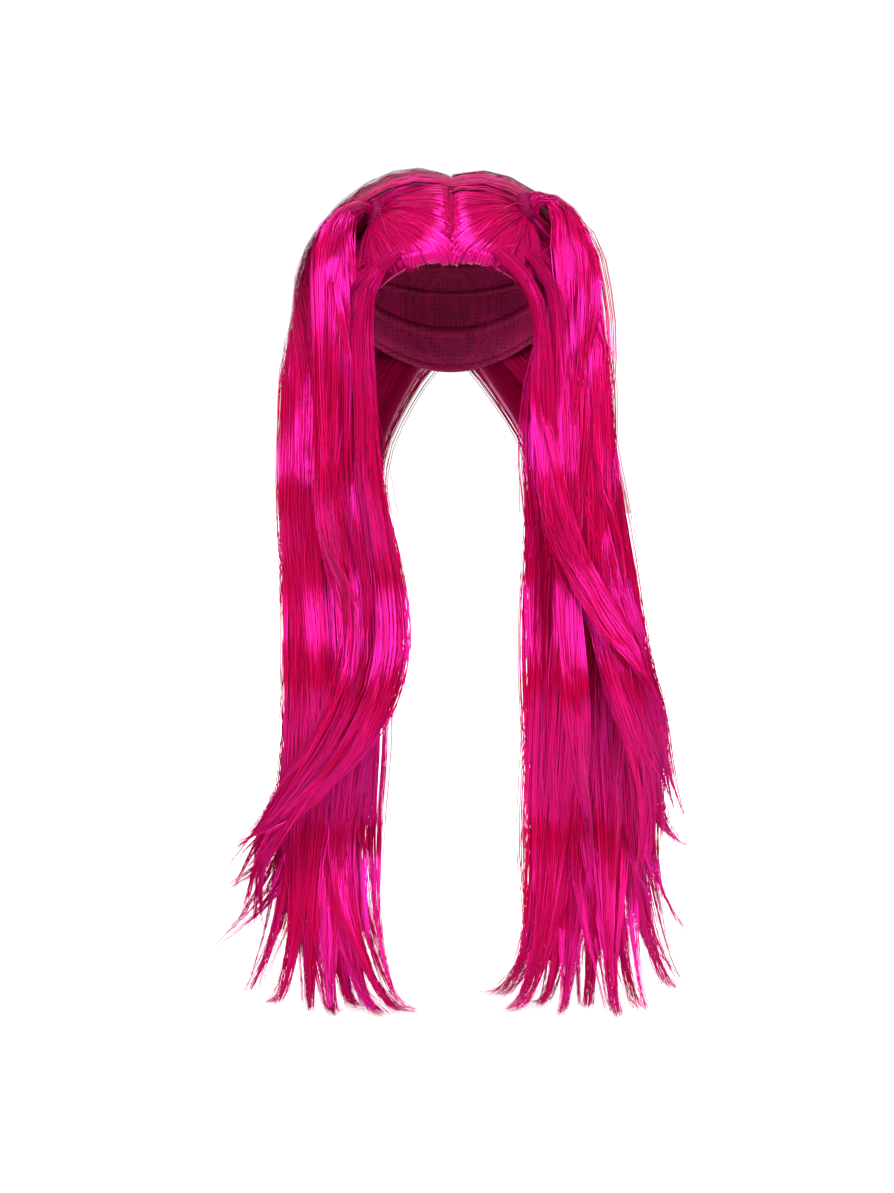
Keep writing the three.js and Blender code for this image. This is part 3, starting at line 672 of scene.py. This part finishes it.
def core_parts(row, share_of_lock=0.6, sides=8, runs=22):
    """Bodies of gathered hair inside the locks of a row, which the strands lie on, dark with painted shade
    where they show between the strands.
    """
    parts = []
    at = np.linspace(0.01, CORE_END, runs)
    narrow = np.sqrt(np.maximum(1 - (at / CORE_END) ** 4, 0.0004))
    body = share_of_lock * np.minimum(1, 0.4 + at * 6) * narrow
    angle = np.arange(sides) * 2 * math.pi / sides
    for lock in range(len(row["path"])):
        values = [
            np.stack([np.interp(at, row["share"], row[key][lock][:, k]) for k in range(3)], axis=-1)
            for key in ("path", "out", "across")
        ]
        wide, deep = (np.interp(at, row["share"], row[key][lock]) for key in ("wide", "deep"))
        rings = (
            values[0][:, None]
            + values[1][:, None] * (deep * body)[:, None, None] * np.sin(angle)[:, None]
            + values[2][:, None] * (wide * body)[:, None, None] * np.cos(angle)[:, None]
        )
        points, quads = loft(rings)
        # the cores' dark tone is painted shade
        tone = np.full(len(points), CORE_SHADE_TONE) + 0.02 * np.tile(np.arange(sides) % 2, runs)
        parts.append((points, quads, np.stack([tone, np.repeat(at, sides)], axis=1)))
    return parts


# places and colours of the tones of strands, and what they are multiplied by along the hair:
# a painted sheen that makes the root end pinker and paler, and painted shade that darkens the tips
FIBRE_TONES = ((0.1, (0.15, 0.0002, 0.009)), (0.9, (0.56, 0.0016, 0.058)), (0.5, (0.37, 0.00055, 0.028)))
FIBRE_SHEEN_AND_SHADE_ALONG = (
    (0.0, (0.95, 2.2, 2.0)), (1.0, (0.64, 0.6, 0.6)),
    (0.2, (1, 2.0, 1.8)), (0.4, (1, 1, 1)), (0.85, (1, 1, 1)),
)


def hair_material():
    """Glossy dyed fibre: each strand its own tone, pinker near the root with a painted sheen and deeper at
    the tip with painted shade, with a gloss that spreads across the strands and is narrow along them."""
    made, shader, tree = plain_material("pink_fibre")
    uv = tree.nodes.new("ShaderNodeUVMap")
    uv.uv_map = "OFBake"
    split = tree.nodes.new("ShaderNodeSeparateXYZ")
    tree.links.new(uv.outputs["UV"], split.inputs["Vector"])
    tones = colour_ramp(tree, split.outputs["X"], FIBRE_TONES)
    # the strand's tone times painted sheen near the root and painted shade at the tip
    painted_sheen_and_shade = colour_ramp(tree, split.outputs["Y"], FIBRE_SHEEN_AND_SHADE_ALONG)
    tree.links.new(multiplied(tree, tones, painted_sheen_and_shade), shader.inputs["Base Color"])
    tangent = tree.nodes.new("ShaderNodeTangent")
    tangent.direction_type = "UV_MAP"
    tangent.uv_map = "OFBake"
    tree.links.new(tangent.outputs["Tangent"], shader.inputs["Tangent"])
    shader.inputs["Anisotropic"].default_value = 0.9
    shader.inputs["Roughness"].default_value = 0.28
    shader.inputs["IOR"].default_value = 1.76
    shader.inputs["Specular IOR Level"].default_value = 1.0
    shader.inputs["Specular Tint"].default_value = (1.0, 0.026, 0.56, 1.0)
    return made


pink_fibre = hair_material()


def hair_piece(name, parts, node):
    """One hair piece as a single mesh of strands and bodies, in place of its node."""
    points, quads = gathered([part[:2] for part in parts])
    mesh = mesh_of(name, points * MM, quads)
    values = np.vstack([part[2] for part in parts])
    layer = mesh.uv_layers.new(name="OFBake", do_init=False)
    layer.uv.foreach_set("vector", values[quads.ravel()].astype(np.float32).ravel())
    mesh.materials.append(pink_fibre)
    made = add_object(name, mesh)
    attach(made, "root")
    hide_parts(node)
    return made


def hanging_path(sign, fullness, curtain, root, leave, lift, across, depth, tip, puff=0):
    """Path of a lock over the head and down its curtain to its tip. Less fullness keeps it nearer the head,
    and a puff raises it near its root."""
    start = head_direction(sign, *root)
    end = head_direction(sign, *leave)
    path = []
    for share in OVER_HEAD:
        raised = puff * math.sin(math.pi * min(1, 2 * share))
        height = ROOT_LIFT + (lift * fullness - ROOT_LIFT) * share + raised
        path.append(head_point(over_head(start, end, share), height))
    leaves = path[-1][2]
    for z, inner, outer, front, back in curtain:
        if tip[2] + TIP_DROP <= z <= leaves - LEAVE_DROP:
            path.append((sign * (inner + (outer - inner) * across), depth(front, back), z))
    path.append((sign * tip[0], tip[1], tip[2]))
    return path


BACK_STRANDS = 2800
BACK_CLUMPS = 100
# deeper tone of the back hair: painted shade for the hair that hangs behind the side hair
BACK_SHADED_DYE = 0.42
BACK_ENDS = ((LEFT_BACK_TIPS, LEFT_FLARES[::-1], 11), (RIGHT_BACK_TIPS, RIGHT_FLARES[::-1], 12))
for (side, sign, fullness, curtain), (tips, flares, seed) in zip(SIDES, BACK_ENDS):
    paths = []
    for (turn, tilt, leave_turn, leave_tilt, lift, across, rear), tip in zip(BACK_LOCKS, tips):
        paths.append(
            hanging_path(
                sign, fullness, curtain, (turn, tilt), (leave_turn, leave_tilt), lift, across,
                lambda front, back: (front + BACK_LAYER_DEPTH) * (1 - rear) + back * rear, tip,
            )
        )
    row = guide_row(paths, sign, -1, BACK_HALF_WIDTH, BACK_HALF_DEPTH)
    flares = np.array(flares) * (sign, 1, 1, 1)
    combed = comb(row, BACK_STRANDS, BACK_CLUMPS, seed, tips=flares, dye_and_shade=BACK_SHADED_DYE)
    hair_piece(f"back_strands_{side}", [strand_parts(combed)] + core_parts(row), f"back_hair_{side}")


# Side hair: fibre from the temple and the crown, combed back over the ear and falling in front.
# It makes the broad outer face of each curtain and runs out in long pointed locks.
SIDE_HALF_WIDTH = 14
SIDE_HALF_DEPTH = 9
SIDE_STRANDS = 3700
SIDE_CLUMPS = 160
INNER_STRANDS = 1100
INNER_CLUMPS = 55
INNER_FULLNESS = 0.45
# deeper tone of the inner layer: painted shade for hair that lies under the outer layer
INNER_SHADED_DYE = 0.36
SIDE_ROOT_DIP = 2.5
# roots nearer the crown than this tilt are puffed up less
CROWN_TILT = 40
CROWN_PUFF = 2
TEMPLE_PUFF = 6
# root turn and tilt, leaving turn and tilt, lift there, place across the curtain, depth behind its front
SIDE_LOCKS = (
    (50, 73, 66, 98, 12, 0.06, 10),
    (61, 62, 77, 96, 18, 0.24, 12),
    (74, 50, 81, 88, 20, 0.36, 11),
    (66, 30, 84, 77, 21, 0.44, 10),
    (2, 21, 78, 73, 22, 0.54, 9),
    (60, 1, 86, 76, 27, 0.68, 8),
    (178, 15, 96, 78, 31, 0.84, 10),
    (179, 29, 107, 80, 30, 0.97, 16),
)
LEFT_SIDE_TIPS = (
    (60, -80, -634), (74, -82, -634), (84, -82, -634), (92, -81, -634), (102, -80, -632), (118, -79, -630),
    (138, -76, -622), (152, -70, -610),
)
RIGHT_SIDE_TIPS = (
    (58, -80, -632), (66, -82, -634), (76, -82, -634), (88, -82, -634), (102, -81, -634), (122, -80, -632),
    (138, -76, -620), (154, -70, -604),
)
SIDE_ENDS = ((LEFT_SIDE_TIPS, LEFT_FLARES, 21), (RIGHT_SIDE_TIPS, RIGHT_FLARES, 22))
for (side, sign, fullness, curtain), (tips, flares, seed) in zip(SIDES, SIDE_ENDS):
    rows = []
    for layer in (1, INNER_FULLNESS):
        paths = []
        for (turn, tilt, leave_turn, leave_tilt, lift, across, behind), tip in zip(SIDE_LOCKS, tips):
            paths.append(
                hanging_path(
                    sign, fullness * layer, curtain, (turn, tilt), (leave_turn, leave_tilt), lift, across,
                    lambda front, back: front + behind, tip, CROWN_PUFF if tilt < CROWN_TILT else TEMPLE_PUFF,
                )
            )
        rows.append(guide_row(paths, sign, 1, SIDE_HALF_WIDTH, SIDE_HALF_DEPTH))
    flares = np.array(flares) * (sign, 1, 1, 1)
    outer = comb(rows[0], SIDE_STRANDS, SIDE_CLUMPS, seed, tips=flares, root_dip=SIDE_ROOT_DIP)
    inner = comb(rows[1], INNER_STRANDS, INNER_CLUMPS, seed + 5, tips=flares, outer=0.0, dye_and_shade=INNER_SHADED_DYE,
                 bends=SHORT_BENDS)
    parts = [strand_parts(outer), strand_parts(inner)] + core_parts(rows[0])
    hair_piece(f"side_strands_{side}", parts, f"side_hair_{side}")


# Face locks: thin loose locks pulled free at the hairline in front of the ears, one left and two right.
# They hang before the curtains, bend in at the neck and sweep out to a point.
FACE_LOCK_LIFT = 10
FACE_LOCK_HALF_DEPTH = 3
ROOT_HALF_WIDTH = 3
LEAST_HALF_WIDTH = 4
# ends of its fine locks from its tip: out, y, z, share of the locks
FACE_LOCK_SPLAY = ((-14, -2, -22, 1), (-6, 0, -10, 1), (0, 0, 0, 1), (6, 2, 12, 1), (-10, 2, 14, 1))
FACE_STRANDS = 600
FACE_CLUMPS = 16
# rows of a lock: out from the middle, y, z, half width
LEFT_FACE_LOCK = (
    (58, -87, -68, 6), (65, -84, -100, 7), (63, -83, -165, 8), (59, -86, -230, 9), (49, -94, -290, 10),
    (44, -101, -340, 11), (56, -104, -390, 11), (88, -105, -438, 9), (124, -104, -476, 7),
    (160, -102, -500, 1),
)
RIGHT_FRONT_LOCK = (
    (58, -88, -74, 4), (67, -86, -110, 5), (70, -86, -165, 6), (73, -92, -225, 7), (88, -102, -272, 8),
    (110, -107, -308, 8), (136, -108, -345, 6), (164, -106, -400, 1),
)
RIGHT_REAR_LOCK = (
    (75, -68, -76, 8), (81, -71, -110, 8), (83, -75, -165, 7), (85, -85, -230, 7), (88, -96, -300, 8),
    (92, -102, -370, 8), (98, -104, -440, 7), (112, -104, -510, 1),
)
# node, sign of x, root turn and tilt, rows, seed
FACE_LOCKS = (
    ("face_lock_left", -1, (30, 63), LEFT_FACE_LOCK, 31),
    ("face_lock_right_front", 1, (24, 62), RIGHT_FRONT_LOCK, 32),
    ("face_lock_right_rear", 1, (42, 60), RIGHT_REAR_LOCK, 33),
)
for node, sign, root, rows, seed in FACE_LOCKS:
    rows = np.array(rows, float)
    start = head_point(head_direction(sign, *root), FACE_LOCK_LIFT)
    path = np.vstack([start, rows[:, :3] * (sign, 1, 1)])
    widths = [ROOT_HALF_WIDTH, *rows[:, 3]]
    halves = np.interp(np.linspace(0, 1, GUIDE_POINTS), np.linspace(0, 1, len(widths)), widths)
    row = guide_row([path], sign, 1, np.maximum(halves, LEAST_HALF_WIDTH), FACE_LOCK_HALF_DEPTH)
    ends = (np.array(FACE_LOCK_SPLAY) + (*rows[-1, :3], 0)) * (sign, 1, 1, 1)
    # the face locks are given a deeper tone, painted shade
    combed = comb(row, FACE_STRANDS, FACE_CLUMPS, seed, half=2.6, short=0.22, tips=ends, tresses=4,
                  tress_sway=3.0, dye_and_shade=0.4, bends=LOOSE_BENDS)
    hair_piece(f"{node}_strands", [strand_parts(combed)] + core_parts(row), node)


# Bunches: the front hair, combed flat over the brow from the hairline and the centre part to a tie.
# Past the tie it swells into a tail that hangs over the curtain and sweeps out to a point.
RIB_HALF_DEPTH = 3.5
TIE_LIFT = 9
TIE_WIDTH = 9
NECK_RADIUS = 5.6
RIB_REACH = (0.06, 0.3, 0.6, 0.8)
TAIL_HALF_DEPTH = 6
TAIL_LOCK_SHARE = 0.7
FAN_STRANDS = 2000
FAN_CLUMPS = 120
FAN_PUFF = 3
FAN_ROOT_LIFT = 2.5
FAN_ROOT_HALF_WIDTH = 3
FAN_NARROWS = (0.2, 0.95)
ROLLED_POINTS = 5
# share of the way along the hair that the fan takes, so the whole fan lies in the painted sheen near the root
FAN_SHARE = 0.16
BED_DROP = 1.6
BED_RUN = slice(4, 60)
# tone and place along the hair of the bed under the fan; its low tone is painted shade
BED_SHADE_TONE = (0.35, 0.2)
TAIL_STRANDS = 1400
TAIL_CLUMPS = 48
HAIRLINE_RIBS = 8
# tilt past the cap's edge and lift of the points where the hair turns up round it
HAIRLINE_ROLL = ((-0.6, -1.2), (1.9, 0.2), (2.2, 3.2))
# turn and tilt of the root, along the hairline and then up the part
FAN_RIBS = (
    (52, 78), (44, 75), (36, 72), (28, 69.5), (20, 68), (12, 67), (5, 66.5), (0, 66), (0, 56), (0, 46.5),
    (0, 37), (0, 27),
)
# tail: out, y, z, half width; tips: the ends of its two guides; splay: where its locks flare to, and share
LEFT_BUNCH = {
    "tie": (57, -40, -20),
    "aim": (0.93, -0.34, 0.16),
    "tail": (
        (70, -45, -17, 8), (80, -51, -24, 11), (87, -58, -46, 14), (87, -67, -110, 16), (86, -70, -180, 16),
        (82, -76, -255, 15), (70, -86, -315, 15), (74, -90, -368, 15), (100, -92, -425, 14),
        (132, -92, -470, 11),
    ),
    "tips": ((158, -92, -556), (178, -91, -520)),
    "splay": (
        (136, -94, -576, 1), (148, -94, -566, 1), (158, -92, -556, 1), (168, -92, -538, 1),
        (178, -91, -520, 1), (166, -94, -498, 1),
    ),
}
RIGHT_BUNCH = {
    "tie": (56, -40, -16),
    "aim": (0.96, -0.14, 0.24),
    "tail": (
        (68, -42, -10, 8), (80, -45, -16, 11), (90, -50, -42, 12), (97, -57, -95, 13), (100, -67, -150, 14),
        (104, -70, -215, 15), (112, -81, -275, 16), (122, -86, -325, 16), (134, -88, -370, 15),
        (146, -88, -415, 12),
    ),
    "tips": ((156, -88, -508), (170, -87, -480)),
    "splay": (
        (138, -90, -534, 1), (150, -89, -516, 1), (158, -88, -504, 1), (166, -88, -490, 1),
        (172, -87, -474, 1), (184, -84, -488, 1),
    ),
}
for (side, sign, _, _), shape, seed in zip(SIDES, (LEFT_BUNCH, RIGHT_BUNCH), (41, 42)):
    outward = np.array([sign, 1, 1])
    tie = np.array(shape["tie"]) * outward
    aim = unit(np.array(shape["aim"]) * outward)
    to_tie = unit((tie + (0, 0, CROWN_RISE)) / (HEAD_HALF_WIDTH, HEAD_HALF_LENGTH, CROWN_RISE))
    ribs = []
    for rib, (turn, tilt) in enumerate(FAN_RIBS):
        root = head_direction(sign, turn, tilt)
        start = [head_point(root, FAN_ROOT_LIFT)]
        if rib < HAIRLINE_RIBS:
            tilt = float(edge_tilt(turn))
            root = head_direction(sign, turn, tilt)
            start = []
            for past, lift in HAIRLINE_ROLL:
                start.append(head_point(head_direction(sign, turn, tilt + past), lift))
        path = []
        for reach in RIB_REACH:
            lift = ROOT_LIFT + (TIE_LIFT - ROOT_LIFT) * reach**2 + FAN_PUFF * math.sin(math.pi * reach)
            path.append(head_point(over_head(root, to_tie, reach), lift))
        ribs.append(start + path + [tie - aim * TIE_WIDTH / 2, tie])
    share = np.linspace(0, 1, GUIDE_POINTS)
    narrowing = FAN_ROOT_HALF_WIDTH + (NECK_RADIUS - FAN_ROOT_HALF_WIDTH) * eased(share, *FAN_NARROWS)
    row = guide_row(ribs, sign, 1, narrowing, RIB_HALF_DEPTH, rolled=ROLLED_POINTS)
    fan = comb(row, FAN_STRANDS, FAN_CLUMPS, seed, half=2.0, round_off=60.0, wander=0.3, stray=0.02,
               short=0.0, tresses=6, tress_sway=0.6, tip_gather=0.3, mid_gather=0.1, root_squeeze=0.06,
               root_dip=0, tilt=0.03, thick=0.5, variety=0.5, stretch=(0, FAN_SHARE), bends=SHORT_BENDS)
    # the tail past the tie, round two guides side by side
    halves = np.array(shape["tail"], float)[:, 3]
    tails = []
    for fan_out, tip in zip((-0.5, 0.5), shape["tips"]):
        rows = np.array(shape["tail"], float)
        rows[:, 0] += fan_out * TAIL_LOCK_SHARE * rows[:, 3] * np.minimum(1, np.arange(len(rows)) / 2)
        tails.append(np.vstack([tie + aim * TIE_WIDTH / 2, rows[:, :3] * outward, np.array(tip) * outward]))
    wide = TAIL_LOCK_SHARE * np.interp(share, np.linspace(0, 1, len(halves)), halves)
    tail_row = guide_row(tails, sign, 1, wide, TAIL_HALF_DEPTH, hangs=(5, 50))
    splay = np.array(shape["splay"]) * (*outward, 1)
    # the tail is given a deeper tone, painted shade against the light it catches
    tail = comb(tail_row, TAIL_STRANDS, TAIL_CLUMPS, seed + 10, tips=splay, tresses=6, tress_sway=6.0,
                wander=3.6, tilt=0.3, variety=1.7, dye_and_shade=0.42, root_squeeze=0.7, root_dip=0, loosens=(0, 0.12),
                stretch=(FAN_SHARE, 1))
    # a thin bed of hair under the fan, so that the cap doesn't show between its strands, toned darker than
    # the fan as painted shade under it
    bed = loft((row["path"] - BED_DROP * row["out"])[:, BED_RUN], closed_rings=False)
    bed_shade_tone = np.broadcast_to(BED_SHADE_TONE, (len(bed[0]), 2)) + 0.03 * np.arange(len(bed[0]))[:, None] % 0.06
    parts = [strand_parts(fan), strand_parts(tail), (*bed, bed_shade_tone)] + core_parts(tail_row)
    hair_piece(f"bunch_strands_{side}", parts, f"bunch_{side}")


# Ties: a soft elastic ring round the neck of each bunch, wound closely with dark pink thread.
# The windings slant round it and stand up as fine ridges, and it is broader than it is thick.
TIE_MIDDLE_RADIUS = 8.2
TIE_HALF_WALL = 3.0
TIE_HALF_WIDTH = 5.2
TIE_WINDINGS = 34
WINDING_STEPS = 6
TIE_SIDES = 14
RIDGE_SHARE = 0.07
THREAD_TONES = ((0.35, (0.06, 0.0003, 0.012)), (0.68, (0.2, 0.001, 0.042)))


def tie_material():
    """Dark pink thread: fine fibres in two tones, a soft gloss and a fibrous surface."""
    made, shader, tree = plain_material("tie_cloth")
    place = tree.nodes.new("ShaderNodeTexCoord")
    fibres = tree.nodes.new("ShaderNodeTexNoise")
    fibres.inputs["Scale"].default_value = 1400
    fibres.inputs["Detail"].default_value = 5
    tree.links.new(place.outputs["Object"], fibres.inputs["Vector"])
    tree.links.new(colour_ramp(tree, fibres.outputs["Fac"], THREAD_TONES), shader.inputs["Base Color"])
    bump = tree.nodes.new("ShaderNodeBump")
    bump.inputs["Strength"].default_value = 0.5
    bump.inputs["Distance"].default_value = 0.0004
    tree.links.new(fibres.outputs["Fac"], bump.inputs["Height"])
    tree.links.new(bump.outputs["Normal"], shader.inputs["Normal"])
    shader.inputs["Roughness"].default_value = 0.6
    shader.inputs["Specular IOR Level"].default_value = 0.25
    shader.inputs["Specular Tint"].default_value = (1.0, 0.2, 0.7, 1.0)
    return made


tie_cloth = tie_material()
for (side, sign, _, _), shape in zip(SIDES, (LEFT_BUNCH, RIGHT_BUNCH)):
    outward = np.array([sign, 1, 1])
    middle = np.array(shape["tie"]) * outward
    aim = unit(np.array(shape["aim"]) * outward)
    first = unit(np.cross(aim, (0, 0, 1)))
    second = np.cross(aim, first)
    steps = TIE_WINDINGS * WINDING_STEPS
    turn = (np.arange(steps) * 2 * math.pi / steps)[:, None]
    bend = (np.arange(TIE_SIDES) * 2 * math.pi / TIE_SIDES)[None, :]
    ridge = 1 + RIDGE_SHARE * np.cos(TIE_WINDINGS * turn + bend)
    radius = TIE_MIDDLE_RADIUS + TIE_HALF_WALL * np.cos(bend) * ridge
    height = TIE_HALF_WIDTH * np.sin(bend) * ridge
    rings = (
        middle
        + first * (radius * np.cos(turn))[..., None]
        + second * (radius * np.sin(turn))[..., None]
        + aim * height[..., None]
    )
    points, quads = loft(rings, closed_run=True)
    ring = add_object(f"tie_ring_{side}", mesh_of(f"tie_ring_{side}", points * MM, quads))
    ring.data.materials.append(tie_cloth)
    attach(ring, "root")
    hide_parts(f"tie_{side}")
